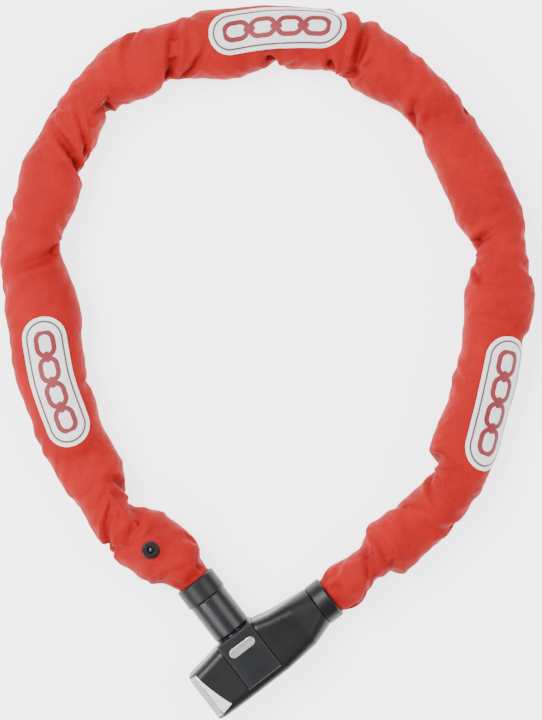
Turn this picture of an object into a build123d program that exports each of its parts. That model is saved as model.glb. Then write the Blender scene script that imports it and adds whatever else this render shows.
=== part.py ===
"""Chain lock for a bicycle: a loop of square-bar links in a fabric sleeve, closed by a keyed lock.

Frame, in millimetres: +Z up, z = 0 is the surface that the lock lies on. The origin is on the lock's
flat underside, below the point where the bolt's axis (+Y, the way the plug pulls out) crosses the
cylinder's axis (+X, from the key end towards the tail). The chain leaves the plug, runs round and
comes back to the anchor eye at the tail. The cylinder is drawn in its unlocked position.
"""

import os
from math import radians, tan

from build123d import *

# Heights and clearances
AXIS_Z = 12.1  # bolt, cylinder, anchor and chain axes
RUNNING = 0.1  # radial clearance of turning parts
LOOSE = 0.25  # radial clearance of the bolt in its bore
SEAT = 0.15  # clearance of a piece that sits in a moulded pocket

# Chain
LINKS = 26
BAR = 6.0
BAR_EDGE = 1.0
LINK_GAP = 10.0  # width inside a link
LINK_WIDTH = LINK_GAP + 2 * BAR
CHAIN_ROUTE = [
    (0, 60.5),
    (-7, 76),
    (-11.5, 91),
    (-7, 115),
    (-1.5, 142),
    (8, 167),
    (25, 198),
    (41.5, 220),
    (73, 240.5),
    (105, 250.5),
    (139, 245),
    (179, 223),
    (209.5, 189),
    (219, 150),
    (213.5, 104),
    (197, 70),
    (163, 38),
    (133, 14.5),
    (105, 3.5),
    (74, 3),
    (53.4, 1.6),
]

# Eyes that hold the first and last links
PLUG_EYE_RADIUS, TAIL_EYE_RADIUS = 9.0, 10.0
EYE_HOLE_RADIUS = 5.0
EYE_THICK = 6.0
EYE_NECK = 9.8  # from an eye's centre to where its shank starts
SHANK = 10.0
PLUG_EYE_Y = CHAIN_ROUTE[0][1] - (PLUG_EYE_RADIUS + EYE_HOLE_RADIUS) / 2
TAIL_EYE_X, TAIL_Y = CHAIN_ROUTE[-1]

# Lock body: stations along X with lowest and highest y, lowest and highest z, corner radius
KEY_END, TAIL_END = -28.4, 37.8
CASE_STATIONS = [
    (KEY_END, -11.8, 12.1, 0.8, 21.6, 4.0),
    (-25.6, -12.1, 12.6, 0.0, 24.2, 4.5),
    (-18.4, -12.3, 13.6, 0.0, 24.2, 4.5),
    (-10.7, -12.4, 15.0, 0.0, 24.2, 4.5),
    (11.0, -12.3, 15.0, 0.0, 24.2, 4.5),
    (17.3, -11.9, 13.4, 0.0, 24.0, 5.0),
    (27.2, -11.2, 12.4, 0.8, 23.2, 6.5),
    (TAIL_END, -8.2, 11.4, 2.5, 21.7, 9.0),
]
# Core blocks: start and end x, lowest and highest y, lowest and highest z
CORE_BLOCKS = [(-22.0, 16.0, -9.4, 12.6, 1.8, 22.4), (15.0, 34.0, -6.0, 9.2, 4.6, 19.6)]
CORE_CORNER = 3.0
SCREWS = [(-17.0, 10.6), (12.6, 6.5), (12.6, -5.5)]
SCREW, SCREW_HEAD, SCREW_TOP = 2.6, 5.0, 11.6

# Port, plug and bolt
SADDLE_LEFT, SADDLE_RIGHT = -9.2, 9.4
SADDLE_BACK, PORT_FACE = -8.4, 15.9
SADDLE_SEAT, SADDLE_TOP = 23.4, 25.2
SADDLE_FRONT = 2.0
BUSH, BUSH_START = 14.0, 6.0
BOLT = 11.0
BOLT_NOSE = -8.2
GROOVE, GROOVE_WIDTH = 6.6, 3.5
PLUG_COVER = 18.4
PLUG_COVER_START, PLUG_COVER_END = 16.3, 35.5
SEAL_RADIUS, SEAL_CORD = 7.2, 1.6
PLUG_COLLAR, PLUG_COLLAR_END = 19.6, 45.5
TAIL_COLLAR, TAIL_COLLAR_END = 20.3, 45.4
COLLAR_MOUTH, COLLAR_MOUTH_DEPTH = 16.8, 3.2
BADGE_Y, BADGE_LONG, BADGE_WIDE = 9.0, 13.4, 4.2

# Cylinder, crank and slider
HOUSING_START, HOUSING_END, HOUSING = -25.8, -12.4, 15.6
FLANGE, FLANGE_THICK = 13.0, 1.2
CORE_PLUG, STUB, WEB = 11.1, 8.0, 1.2
SQUARE = 5.4
CRANK_START, CRANK_END, CRANK = -11.3, -8.9, 11.0
CRANK_RADIUS, CRANK_PIN = 3.0, 3.0
CRANK_Y = CRANK_RADIUS * 0.5**0.5  # the crank rests 45 degrees below level
SLIDER_TRAVEL = 2 * CRANK_Y
SLIDER_THICK, SLIDER_HALF = 3.0, 8.6
SLIDER_BOTTOM, SLIDER_TOP = 2.0, 17.9
TAB_THICK, TAB_END = 2.0, 5.2
KEY_SLOT, KEY_SLOT_HIGH = 2.2, 6.4
WAFER_PLACES = (-22.4, -20.0, -17.6, -15.2)
WAFER_THICK, WAFER_WIDE, WAFER_HIGH, WAFER_TRAVEL = 1.2, 3.6, 10.3, 0.9
COVER_PIVOT_Y, COVER_REACH, COVER_SWING = 6.8, 6.8, 70

# Sleeve
SLEEVE_WIDE, SLEEVE_HIGH, SLEEVE_WALL = 29.0, 25.0, 0.9
NECK_WIDE, NECK_HIGH = 16.4, 16.0
PLUG_NECK_RUN, TAIL_NECK_RUN = 10.0, 7.0
RIVET, RIVET_HEAD, RIVET_HOLE = 4.4, 8.0, 3.2
RIVET_AT = (-6.1, 69.2)

UP = Vector(0, 0, 1)


def save(builder, name):
    """Labels a finished piece and writes its STEP file."""
    builder.part.label = name
    export_step(builder.part, f"parts/{name}.step")


def box(low, high, mode=Mode.ADD):
    """A box between two corners."""
    with Locations(Vector(*[(a + b) / 2 for a, b in zip(low, high)])):
        Box(*[b - a for a, b in zip(low, high)], mode=mode)


def bar_x(block, grow=0.0, mode=Mode.ADD):
    """A bar along X with rounded long edges, larger all round by grow."""
    start, end, y_low, y_high, z_low, z_high = block
    with BuildSketch(Plane.YZ.offset(start - grow)) as section:
        with Locations(((y_low + y_high) / 2, (z_low + z_high) / 2)):
            RectangleRounded(y_high - y_low + 2 * grow, z_high - z_low + 2 * grow, CORE_CORNER)
    extrude(section.sketch, amount=end - start + 2 * grow, mode=mode)


def rod_x(y, diameter, start, end, mode=Mode.ADD):
    """A cylinder along X at the axes' height."""
    with Locations(Location(((start + end) / 2, y, AXIS_Z), (0, 90, 0))):
        Cylinder(diameter / 2, end - start, mode=mode)


def rod_y(diameter, start, end, mode=Mode.ADD):
    """A cylinder along Y, on the bolt's axis."""
    with Locations(Location((0, (start + end) / 2, AXIS_Z), (90, 0, 0))):
        Cylinder(diameter / 2, end - start, mode=mode)


def rod_z(x, y, diameter, start, end, mode=Mode.ADD):
    """A cylinder along Z."""
    with Locations((x, y, (start + end) / 2)):
        Cylinder(diameter / 2, end - start, mode=mode)


# Chain


def chain_route():
    """The line that the chain lies along, from the plug's eye to the anchor's."""
    with BuildLine(Plane.XY.offset(AXIS_Z)) as route:
        Spline(*CHAIN_ROUTE)
    return route.edges()[0]


def hinge_points(route, inner_length):
    """Where the links turn on each other, and what is left at the end, below 0 if they don't fit.

    A flat link turns on the upright bars inside its round ends, so it spans the distance between its
    arcs' centres. An upright link carries those bars, so it spans the distance between bar centres.
    """
    points, at = [route @ 0], 0.0
    for n in range(LINKS):
        hop = inner_length + BAR if n % 2 else inner_length - LINK_GAP
        if (route @ 1 - points[-1]).length < hop:
            left = (route @ 1 - points[-1]).length - hop
            return points, left - (LINKS - 1 - n) * inner_length
        low, high = at, min(at + 0.2, 1.0)
        for _ in range(30):
            middle = (low + high) / 2
            if (route @ middle - points[-1]).length < hop:
                low = middle
            else:
                high = middle
        at = high
        points.append(route @ at)
    return points, (route @ 1 - points[-1]).length


def fit_chain(route):
    """The inner length at which the links just reach the anchor, and their hinge points."""
    short, long = 22.0, 30.0
    for _ in range(30):
        inner_length = (short + long) / 2
        if hinge_points(route, inner_length)[1] > 0:
            short = inner_length
        else:
            long = inner_length
    return short, hinge_points(route, short)[0]


def make_links(points, inner_length):
    """Link after link, flat and upright in turn, each between two hinge points."""
    arc_span = inner_length - LINK_GAP
    for n in range(LINKS):
        start, end = points[n], points[n + 1]
        along = (end - start).normalized()
        normal = along.cross(UP) if n % 2 else UP
        with BuildPart() as link:
            with BuildSketch(Plane((start + end) / 2, x_dir=along, z_dir=normal)):
                SlotCenterToCenter(arc_span, LINK_WIDTH)
                SlotCenterToCenter(arc_span, LINK_GAP, mode=Mode.SUBTRACT)
            extrude(amount=BAR / 2, both=True)
            fillet(link.edges(), BAR_EDGE)
        save(link, f"link_{n + 1:02d}")


def eye(centre, outward, normal, radius):
    """Adds an eye to the part being built, with its neck towards the lock."""
    with BuildSketch(Plane(centre, x_dir=outward, z_dir=normal)) as outline:
        Circle(radius)
        with Locations((-EYE_NECK, 0)):
            Rectangle(0.6, SHANK)
        make_hull()
        Circle(EYE_HOLE_RADIUS, mode=Mode.SUBTRACT)
    extrude(outline.sketch, amount=EYE_THICK / 2, both=True)


# Sleeve


def sleeve_end(face, outward, far, onward):
    """Adds one end of the sleeve: a neck inside the collar that widens to the full section."""
    stages = [
        (face - outward * (COLLAR_MOUTH_DEPTH - 0.2), outward, NECK_WIDE, NECK_HIGH),
        (face, outward, NECK_WIDE, NECK_HIGH),
        (far, onward, SLEEVE_WIDE, SLEEVE_HIGH),
    ]
    for wall, mode in ((0, Mode.ADD), (SLEEVE_WALL, Mode.SUBTRACT)):
        sections = []
        for centre, facing, wide, high in stages:
            with BuildSketch(Plane(centre, x_dir=UP.cross(facing), z_dir=facing)) as section:
                SlotOverall(wide - 2 * wall, high - 2 * wall)
            sections.append(section.sketch)
        loft(sections, ruled=True, mode=mode)


def make_sleeve(points):
    """The fabric sleeve: one tube round the whole chain, necked down into both collars."""
    lift = UP * (SLEEVE_HIGH / 2 - AXIS_Z)
    plug_face = Vector(0, PLUG_COLLAR_END, AXIS_Z)
    tail_face = Vector(TAIL_COLLAR_END, TAIL_Y, AXIS_Z)
    first = plug_face + Vector(0, PLUG_NECK_RUN, 0) + lift
    last = tail_face + Vector(TAIL_NECK_RUN, 0, 0) + lift
    corners = [first, *[p + lift for p in points[1:-1]], last]
    radii = []
    for a, b, c in zip(corners, corners[1:], corners[2:]):
        half_turn = radians((b - a).get_angle(c - b)) / 2
        radii.append(0.45 * min((b - a).length, (c - b).length) / tan(half_turn))
    with BuildPart() as sleeve:
        with BuildLine():
            path = FilletPolyline(*corners, radius=radii)
        with BuildSketch(Plane(first, x_dir=UP.cross(path % 0), z_dir=path % 0)):
            SlotOverall(SLEEVE_WIDE, SLEEVE_HIGH)
            SlotOverall(SLEEVE_WIDE - 2 * SLEEVE_WALL, SLEEVE_HIGH - 2 * SLEEVE_WALL, mode=Mode.SUBTRACT)
        sweep(path=path)
        sleeve_end(plug_face, Vector(0, 1, 0), first, path % 0)
        sleeve_end(tail_face, Vector(1, 0, 0), last, -(path % 1))
        rod_z(*RIVET_AT, RIVET + 0.2, SLEEVE_HIGH / 2, SLEEVE_HIGH + 1, mode=Mode.SUBTRACT)
        rod_z(*RIVET_AT, RIVET_HEAD + 0.3, -1, SLEEVE_HIGH / 2, mode=Mode.SUBTRACT)
    save(sleeve, "chain_sleeve")


def make_rivet():
    """The hollow rivet through the first link's hole that pins the sleeve to it."""
    with BuildPart() as rivet:
        rod_z(*RIVET_AT, RIVET, 0.2, SLEEVE_HIGH + 0.1)
        rod_z(*RIVET_AT, RIVET_HEAD, 0.1, 0.7)
        rod_z(*RIVET_AT, RIVET_HEAD, SLEEVE_HIGH + 0.1, SLEEVE_HIGH + 0.7)
        fillet(rivet.edges().group_by(Axis.Z)[-1], 0.4)
        rod_z(*RIVET_AT, RIVET_HOLE, 0, SLEEVE_HIGH + 1, mode=Mode.SUBTRACT)
    save(rivet, "sleeve_rivet")


# Lock body


def case_solid():
    """Adds the case's whole outside shape to the part being built."""
    sections = []
    for x, y_low, y_high, z_low, z_high, corner in CASE_STATIONS:
        with BuildSketch(Plane.YZ.offset(x)) as section:
            with Locations(((y_low + y_high) / 2, (z_low + z_high) / 2)):
                RectangleRounded(y_high - y_low, z_high - z_low, corner)
        sections.append(section.sketch)
    loft(sections, ruled=True)


def cap_region(grow, mode):
    """The end cap's share of the case: a plate across the end and a tongue over the top."""
    low, high = -10.2 - grow, 11.4 + grow
    with BuildSketch(Plane.XY.offset(-1)) as region:
        with BuildLine():
            Polyline((-24.8, high), (-29, high), (-29, low), (-26, low), (-19.4 + grow, -8.6 - grow))
            ThreePointArc((-19.4 + grow, -8.6 - grow), (-22.9 + grow, 1.9), (-24.8, high))
        make_face()
    extrude(region.sketch, amount=30, mode=mode)


def make_end_cap():
    """The bright cap at the key end, with the keyway and a pocket for its swinging cover."""
    with BuildPart() as cap:
        case_solid()
        cap_region(0, Mode.INTERSECT)
        box((-25.9, -20, -1), (0, 20, 22.7), mode=Mode.SUBTRACT)
        with BuildSketch(Plane.YZ.offset(KEY_END - 1)):
            for quarter in range(5):
                with Locations(cover_spot(quarter * COVER_SWING / 4)):
                    Circle(4.25)
            with Locations((COVER_PIVOT_Y, AXIS_Z)):
                Circle(2.5)
            make_hull()
        extrude(amount=2.3, mode=Mode.SUBTRACT)
        box((-30, -1.4, AXIS_Z - 3.5), (-20, 1.4, AXIS_Z + 3.5), mode=Mode.SUBTRACT)
        rod_x(COVER_PIVOT_Y, 1.6, -30, -26.3, mode=Mode.SUBTRACT)
    save(cap, "end_cap")


def cover_spot(swing):
    """Centre of the keyway cover's disc when it has swung down by this many degrees."""
    arm = Vector(-COVER_REACH, 0).rotate(Axis.Z, swing)
    return (COVER_PIVOT_Y + arm.X, AXIS_Z + arm.Y)


def make_keyway_cover():
    """The dust cover that swings down from the keyway, and its pivot."""
    with BuildPart() as cover:
        with BuildSketch(Plane.YZ.offset(-28.2)):
            with Locations(cover_spot(0)):
                Circle(4.0)
            with Locations((COVER_PIVOT_Y, AXIS_Z)):
                Circle(2.2)
            make_hull()
            with Locations((COVER_PIVOT_Y, AXIS_Z)):
                Circle(0.9, mode=Mode.SUBTRACT)
        extrude(amount=1.0)
    save(cover, "keyway_cover")
    with BuildPart() as pivot:
        rod_x(COVER_PIVOT_Y, 1.6, -28.3, -26.3)
        rod_x(COVER_PIVOT_Y, 2.8, -28.38, -28.22)
    save(pivot, "cover_pivot")


def cover_pockets():
    """Cuts the room for everything inside the case out of a cover."""
    for block in CORE_BLOCKS:
        bar_x(block, SEAT, mode=Mode.SUBTRACT)
    rod_x(0, HOUSING + 2 * SEAT, -30, -20, mode=Mode.SUBTRACT)
    rod_x(TAIL_Y, SHANK + 0.6, 30, 40, mode=Mode.SUBTRACT)
    rod_y(BUSH + 2 * SEAT, 0, 20, mode=Mode.SUBTRACT)
    sides = (SADDLE_LEFT - SEAT, SADDLE_RIGHT + SEAT)
    box((sides[0], SADDLE_BACK - SEAT, SADDLE_SEAT - SEAT), (sides[1], 20, 30), mode=Mode.SUBTRACT)
    box((sides[0], PORT_FACE - SADDLE_FRONT - SEAT, 0.6), (sides[1], 20, 30), mode=Mode.SUBTRACT)


def make_covers():
    """The two plastic halves of the case, parted at the axes' height."""
    for name, keep in (("upper_cover", Keep.TOP), ("lower_cover", Keep.BOTTOM)):
        with BuildPart() as cover:
            case_solid()
            split(bisect_by=Plane.XY.offset(AXIS_Z), keep=keep)
            cover_pockets()
            cap_side()
            if keep is Keep.BOTTOM:
                for x, y in SCREWS:
                    rod_z(x, y, SCREW + 0.4, -1, 5, mode=Mode.SUBTRACT)
                    rod_z(x, y, SCREW_HEAD + 0.4, -1, 1.4, mode=Mode.SUBTRACT)
        save(cover, name)


def cap_side():
    """Cuts the end cap's plate and tongue out of a cover."""
    box((-30, -10.35, -5), (-25.8, 11.55, 30), mode=Mode.SUBTRACT)
    with BuildPart(mode=Mode.PRIVATE) as tongue:
        cap_region(SEAT, Mode.ADD)
        box((-40, -20, -5), (0, 20, 22.55), mode=Mode.SUBTRACT)
    add(tongue.part, mode=Mode.SUBTRACT)


def make_core():
    """The steel core: bores for the bolt, the cylinder and the anchor, and the slider's pocket."""
    with BuildPart() as core:
        for block in CORE_BLOCKS:
            bar_x(block)
        rod_y(BOLT + 2 * LOOSE, BOLT_NOSE - 0.4, PORT_FACE, mode=Mode.SUBTRACT)
        rod_y(BUSH, BUSH_START, PORT_FACE, mode=Mode.SUBTRACT)
        rod_x(0, HOUSING, -23, HOUSING_END, mode=Mode.SUBTRACT)
        rod_x(0, CRANK + 1.6, HOUSING_END - 0.1, -SLIDER_HALF - 0.2, mode=Mode.SUBTRACT)
        half = SLIDER_HALF + 0.2
        box((-half, -1.65, 0), (half, 1.65, SLIDER_TOP + SLIDER_TRAVEL + 0.2), mode=Mode.SUBTRACT)
        box((-half, 0, 0), (TAB_THICK - SLIDER_HALF + 0.2, TAB_END + 0.2, 17.9), mode=Mode.SUBTRACT)
        rod_x(TAIL_Y, SHANK, 22, 40, mode=Mode.SUBTRACT)
        rod_z(29, TAIL_Y, 4, 0, 17.5, mode=Mode.SUBTRACT)
        rod_z(-17, -7.6, 2.4, 0, 19, mode=Mode.SUBTRACT)
        for x, y in SCREWS:
            rod_z(x, y, SCREW, 0, SCREW_TOP, mode=Mode.SUBTRACT)
    save(core, "body_core")


def make_case_screws():
    """The screws that hold the lower cover to the core."""
    for n, (x, y) in enumerate(SCREWS, 1):
        with BuildPart() as screw:
            rod_z(x, y, SCREW, 0.4, SCREW_TOP - 0.4)
            rod_z(x, y, SCREW_HEAD, 0.2, 1.4)
            with BuildSketch(Plane.XY):
                with Locations((x, y)):
                    RegularPolygon(1.2, 6)
            extrude(amount=1.0, mode=Mode.SUBTRACT)
        save(screw, f"case_screw_{n}")


def make_port():
    """The saddle round the port, its badge and the hardened bush that guides the bolt."""
    with BuildPart() as saddle:
        box((SADDLE_LEFT, SADDLE_BACK, SADDLE_SEAT), (SADDLE_RIGHT, PORT_FACE, SADDLE_TOP))
        box((SADDLE_LEFT, PORT_FACE - SADDLE_FRONT, 0.8), (SADDLE_RIGHT, PORT_FACE, SADDLE_TOP))
        chamfer(saddle.edges().group_by(Axis.Z)[-1], 0.6)
        rod_y(BUSH, 0, PORT_FACE + 1, mode=Mode.SUBTRACT)
        with BuildSketch(Plane.XY.offset(SADDLE_TOP - 0.2)):
            with Locations((0, BADGE_Y)):
                SlotOverall(BADGE_LONG, BADGE_WIDE)
        extrude(amount=1, mode=Mode.SUBTRACT)
    save(saddle, "port_saddle")
    with BuildPart() as badge:
        with BuildSketch(Plane.XY.offset(SADDLE_TOP - 0.2)):
            with Locations((0, BADGE_Y)):
                SlotOverall(BADGE_LONG, BADGE_WIDE)
        extrude(amount=0.5)
    save(badge, "badge")
    with BuildPart() as bush:
        rod_y(BUSH, BUSH_START, PORT_FACE)
        rod_y(BOLT + 2 * LOOSE, BUSH_START - 1, PORT_FACE + 1, mode=Mode.SUBTRACT)
        chamfer(bush.edges().group_by(Axis.Y)[-1].sort_by(SortBy.RADIUS)[0], 0.5)
    save(bush, "port_bush")


# Lock mechanism


def make_cylinder():
    """The keyed cylinder: housing, turning plug, wafers and the ring that keeps the plug in."""
    with BuildPart() as housing:
        rod_x(0, HOUSING, HOUSING_START, HOUSING_END)
        rod_x(0, FLANGE + 0.3, HOUSING_START - 1, HOUSING_START + FLANGE_THICK + 0.2, mode=Mode.SUBTRACT)
        rod_x(0, CORE_PLUG + 2 * RUNNING, HOUSING_START, HOUSING_END - WEB, mode=Mode.SUBTRACT)
        rod_x(0, STUB + 2 * RUNNING, HOUSING_START, HOUSING_END + 1, mode=Mode.SUBTRACT)
        box((-23.4, -2, AXIS_Z - 6.6), (-14.2, 2, AXIS_Z), mode=Mode.SUBTRACT)
        box((-23.4, 0, AXIS_Z - 2), (-14.2, 6.6, AXIS_Z + 2), mode=Mode.SUBTRACT)
        rod_z(-17, -7.6, 2.4, 0, 19, mode=Mode.SUBTRACT)
    save(housing, "cylinder_housing")

    with BuildPart() as pin:
        rod_z(-17, -7.6, 2.4, 3.6, 18.8)
    save(pin, "housing_pin")

    with BuildPart() as plug:
        rod_x(0, FLANGE, HOUSING_START + 0.1, HOUSING_START + FLANGE_THICK + 0.1)
        rod_x(0, CORE_PLUG, HOUSING_START + 0.2, HOUSING_END - WEB - 0.1)
        rod_x(0, STUB, -14, CRANK_START)
        box((-12.4, -SQUARE / 2, AXIS_Z - SQUARE / 2), (CRANK_START + 1.4, SQUARE / 2, AXIS_Z + SQUARE / 2))
        with BuildSketch(Plane.YZ.offset(-12.3)):
            with Locations((0, AXIS_Z)):
                Circle(STUB)
                Circle(3.4, mode=Mode.SUBTRACT)
        extrude(amount=0.7, mode=Mode.SUBTRACT)
        half = KEY_SLOT_HIGH / 2
        box((-27, -KEY_SLOT / 2, AXIS_Z - half), (-14.2, KEY_SLOT / 2, AXIS_Z + half), mode=Mode.SUBTRACT)
        for x in WAFER_PLACES:
            half_x, half_y = WAFER_THICK / 2 + 0.1, WAFER_WIDE / 2 + 0.1
            box((x - half_x, -half_y, 0), (x + half_x, half_y, 24), mode=Mode.SUBTRACT)
    save(plug, "cylinder_plug")

    for n, x in enumerate(WAFER_PLACES, 1):
        with BuildPart() as wafer:
            with Locations((x, 0, AXIS_Z)):
                Box(WAFER_THICK, WAFER_WIDE, WAFER_HIGH)
                fillet(wafer.edges().filter_by(Axis.X), 0.5)
                Box(WAFER_THICK, KEY_SLOT + 0.2, 4.6, mode=Mode.SUBTRACT)
        save(wafer, f"wafer_{n}")

    with BuildPart() as ring:
        with BuildSketch(Plane.YZ.offset(-12.25)):
            with Locations((0, AXIS_Z)):
                Circle(5.3)
                Circle(3.5, mode=Mode.SUBTRACT)
                with Locations((0, 4.4)):
                    Rectangle(2.4, 3, mode=Mode.SUBTRACT)
        extrude(amount=0.6)
    save(ring, "plug_ring")


def make_drive():
    """The crank on the cylinder plug and the forked slider that it lifts into the bolt's groove."""
    with BuildPart() as crank:
        rod_x(0, CRANK, CRANK_START, CRANK_END)
        square = SQUARE / 2
        box(
            (CRANK_START - 1, -square, AXIS_Z - square),
            (CRANK_START + 1.4, square, AXIS_Z + square),
            mode=Mode.SUBTRACT,
        )
        with BuildSketch(Plane.YZ.offset(CRANK_END)):
            with Locations((CRANK_Y, AXIS_Z - CRANK_Y)):
                Circle(CRANK_PIN / 2)
        extrude(amount=2.1)
    save(crank, "drive_crank")

    middle = AXIS_Z - CRANK_Y
    with BuildPart() as slider:
        box((-SLIDER_HALF, -SLIDER_THICK / 2, SLIDER_BOTTOM), (8.2, SLIDER_THICK / 2, SLIDER_TOP))
        box(
            (-SLIDER_HALF, 0, middle - 3.3),
            (TAB_THICK - SLIDER_HALF, TAB_END, middle + 3.3),
        )
        rod_y(BOLT + 0.6, -2, 2, mode=Mode.SUBTRACT)
        box((-(BOLT + 0.6) / 2, -2, AXIS_Z), ((BOLT + 0.6) / 2, 2, 30), mode=Mode.SUBTRACT)
        with BuildSketch(Plane.XZ.offset(-2)):
            with Locations((0, AXIS_Z - SLIDER_TRAVEL / 2)):
                SlotCenterToCenter(SLIDER_TRAVEL, GROOVE + 0.4, rotation=90)
        extrude(amount=4, mode=Mode.SUBTRACT)
        gap = CRANK_PIN / 2 + 0.15
        box((-10, 0.3, middle - gap), (TAB_THICK - SLIDER_HALF + 0.3, 4.7, middle + gap), mode=Mode.SUBTRACT)
    save(slider, "lock_slider")


# Plug and tail


def make_plug():
    """The chain plug: the bolt forged in one with its eye, and the covers on its shank."""
    centre = Vector(0, PLUG_EYE_Y, AXIS_Z)
    with BuildPart() as bolt:
        rod_y(BOLT, BOLT_NOSE, PLUG_COVER_START)
        chamfer(bolt.edges().group_by(Axis.Y)[0], 1.2)
        rod_y(SHANK, PLUG_COVER_START - 1, PLUG_EYE_Y - EYE_NECK)
        eye(centre, Vector(0, 1, 0), Vector(1, 0, 0), PLUG_EYE_RADIUS)
        with BuildSketch(Plane.XZ.offset(GROOVE_WIDTH / 2)):
            with Locations((0, AXIS_Z)):
                Circle(BOLT)
                Circle(GROOVE / 2, mode=Mode.SUBTRACT)
        extrude(amount=-GROOVE_WIDTH, mode=Mode.SUBTRACT)
        rod_z(0, 26, 2.5, 0, 18, mode=Mode.SUBTRACT)
    save(bolt, "bolt")

    with BuildPart() as cover:
        rod_y(PLUG_COVER, PLUG_COVER_START, PLUG_COVER_END)
        chamfer(cover.edges().group_by(Axis.Y)[0], 0.8)
        rod_y(SHANK, 10, 40, mode=Mode.SUBTRACT)
        with BuildSketch(Plane.XZ.offset(-PLUG_COVER_START)):
            with Locations((0, AXIS_Z)):
                Circle(SEAL_RADIUS + SEAL_CORD / 2)
                Circle(SEAL_RADIUS - SEAL_CORD / 2, mode=Mode.SUBTRACT)
        extrude(amount=-SEAL_CORD + 0.2, mode=Mode.SUBTRACT)
        rod_z(0, 26, 2.5, 0, 12, mode=Mode.SUBTRACT)
    save(cover, "plug_cover")

    with BuildPart() as pin:
        rod_z(0, 26, 2.5, 3.4, 16.6)
    save(pin, "plug_pin")

    with BuildPart() as seal:
        with Locations(Location((0, PLUG_COVER_START - 0.2 + SEAL_CORD / 2, AXIS_Z), (90, 0, 0))):
            Torus(SEAL_RADIUS, SEAL_CORD / 2)
    save(seal, "plug_seal")

    with BuildPart() as collar:
        rod_y(PLUG_COLLAR, PLUG_COVER_END, PLUG_COLLAR_END)
        chamfer(collar.edges(), 0.6)
        rod_y(SHANK, PLUG_COVER_END - 1, PLUG_COLLAR_END + 1, mode=Mode.SUBTRACT)
        rod_y(COLLAR_MOUTH, PLUG_COLLAR_END - COLLAR_MOUTH_DEPTH, PLUG_COLLAR_END + 1, mode=Mode.SUBTRACT)
    save(collar, "plug_collar")


def make_tail():
    """The anchor at the tail, its cross pin and its collar."""
    with BuildPart() as anchor:
        rod_x(TAIL_Y, SHANK, 22, TAIL_EYE_X - EYE_NECK)
        eye(Vector(TAIL_EYE_X, TAIL_Y, AXIS_Z), Vector(1, 0, 0), UP, TAIL_EYE_RADIUS)
        rod_z(29, TAIL_Y, 4, 0, 30, mode=Mode.SUBTRACT)
    save(anchor, "anchor")

    with BuildPart() as pin:
        rod_z(29, TAIL_Y, 4, 4.8, 17.5)
    save(pin, "anchor_pin")

    with BuildPart() as collar:
        rod_x(TAIL_Y, TAIL_COLLAR, TAIL_END + 0.1, TAIL_COLLAR_END)
        chamfer(collar.edges(), 0.6)
        rod_x(TAIL_Y, SHANK, TAIL_END - 1, 46, mode=Mode.SUBTRACT)
        rod_x(TAIL_Y, COLLAR_MOUTH, TAIL_COLLAR_END - COLLAR_MOUTH_DEPTH, 46, mode=Mode.SUBTRACT)
    save(collar, "tail_collar")


os.makedirs("parts", exist_ok=True)

route = chain_route()
inner_length, points = fit_chain(route)
make_links(points, inner_length)
make_sleeve(points)
make_rivet()

make_core()
make_covers()
make_end_cap()
make_keyway_cover()
make_port()
make_case_screws()
make_cylinder()
make_drive()
make_plug()
make_tail()
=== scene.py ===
"""Looks of the chain lock: fabric sleeve, label patches, moulded and metal parts, on a pale floor."""
import math

import bpy
import numpy as np
from mathutils import Matrix, Vector


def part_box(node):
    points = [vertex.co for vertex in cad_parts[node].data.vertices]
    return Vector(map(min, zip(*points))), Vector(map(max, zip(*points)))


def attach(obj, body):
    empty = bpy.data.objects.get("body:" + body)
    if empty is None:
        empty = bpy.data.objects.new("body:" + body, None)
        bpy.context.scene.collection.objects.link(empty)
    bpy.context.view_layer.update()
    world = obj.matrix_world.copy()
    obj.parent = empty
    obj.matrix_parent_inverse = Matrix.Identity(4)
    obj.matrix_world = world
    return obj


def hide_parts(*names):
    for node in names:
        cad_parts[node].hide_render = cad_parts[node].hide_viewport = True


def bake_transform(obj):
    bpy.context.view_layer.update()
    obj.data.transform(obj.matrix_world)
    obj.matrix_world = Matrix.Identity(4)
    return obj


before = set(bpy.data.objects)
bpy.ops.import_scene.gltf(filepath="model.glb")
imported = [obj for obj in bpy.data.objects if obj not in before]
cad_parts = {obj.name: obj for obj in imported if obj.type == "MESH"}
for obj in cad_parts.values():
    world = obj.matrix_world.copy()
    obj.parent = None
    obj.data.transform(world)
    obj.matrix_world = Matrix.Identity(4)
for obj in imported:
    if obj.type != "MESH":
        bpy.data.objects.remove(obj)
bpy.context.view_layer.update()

MM = 0.001
LINKS = 26
AXIS_Z = 12.1  # height of the chain's axis, in mm
LINK_WIDE, LINK_THICK = 11.0, 3.0  # half sizes across a link, in mm
LINK_STRAIGHT = 8.73  # half the straight part of a link, in mm
EYE_IN = 11.0  # from either collar to the middle of the eye behind it, in mm
MOUTH_RADIUS = 8.1  # of the sleeve where it enters a collar, in mm
CLOTH_GAP = 0.7  # between the links and the cloth, in mm


# Chain line: arc position s in mm runs from the plug's collar to the tail's collar.
PLUG_MOUTH, TAIL_MOUTH = (0, 42.5), (42.5, 1.6)


def link_meets():
    """Where one link hangs in the next, in plan, in mm, from the plug to the tail."""
    meets = [np.array((0.0, 60.5))]
    for n in range(1, LINKS + 1):
        low, high = map(np.array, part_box(f"link_{n:02d}"))
        centre = (low + high)[:2] / 2 / MM
        meets.append(2 * centre - meets[-1])
    return np.array(meets)


LINK_MEETS = link_meets()
# The bodies from the plug to the lock, and which of those places is the hinge between each two
HINGES = [0, 3, 7, 11, 15, 19, 23, 26]


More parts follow.
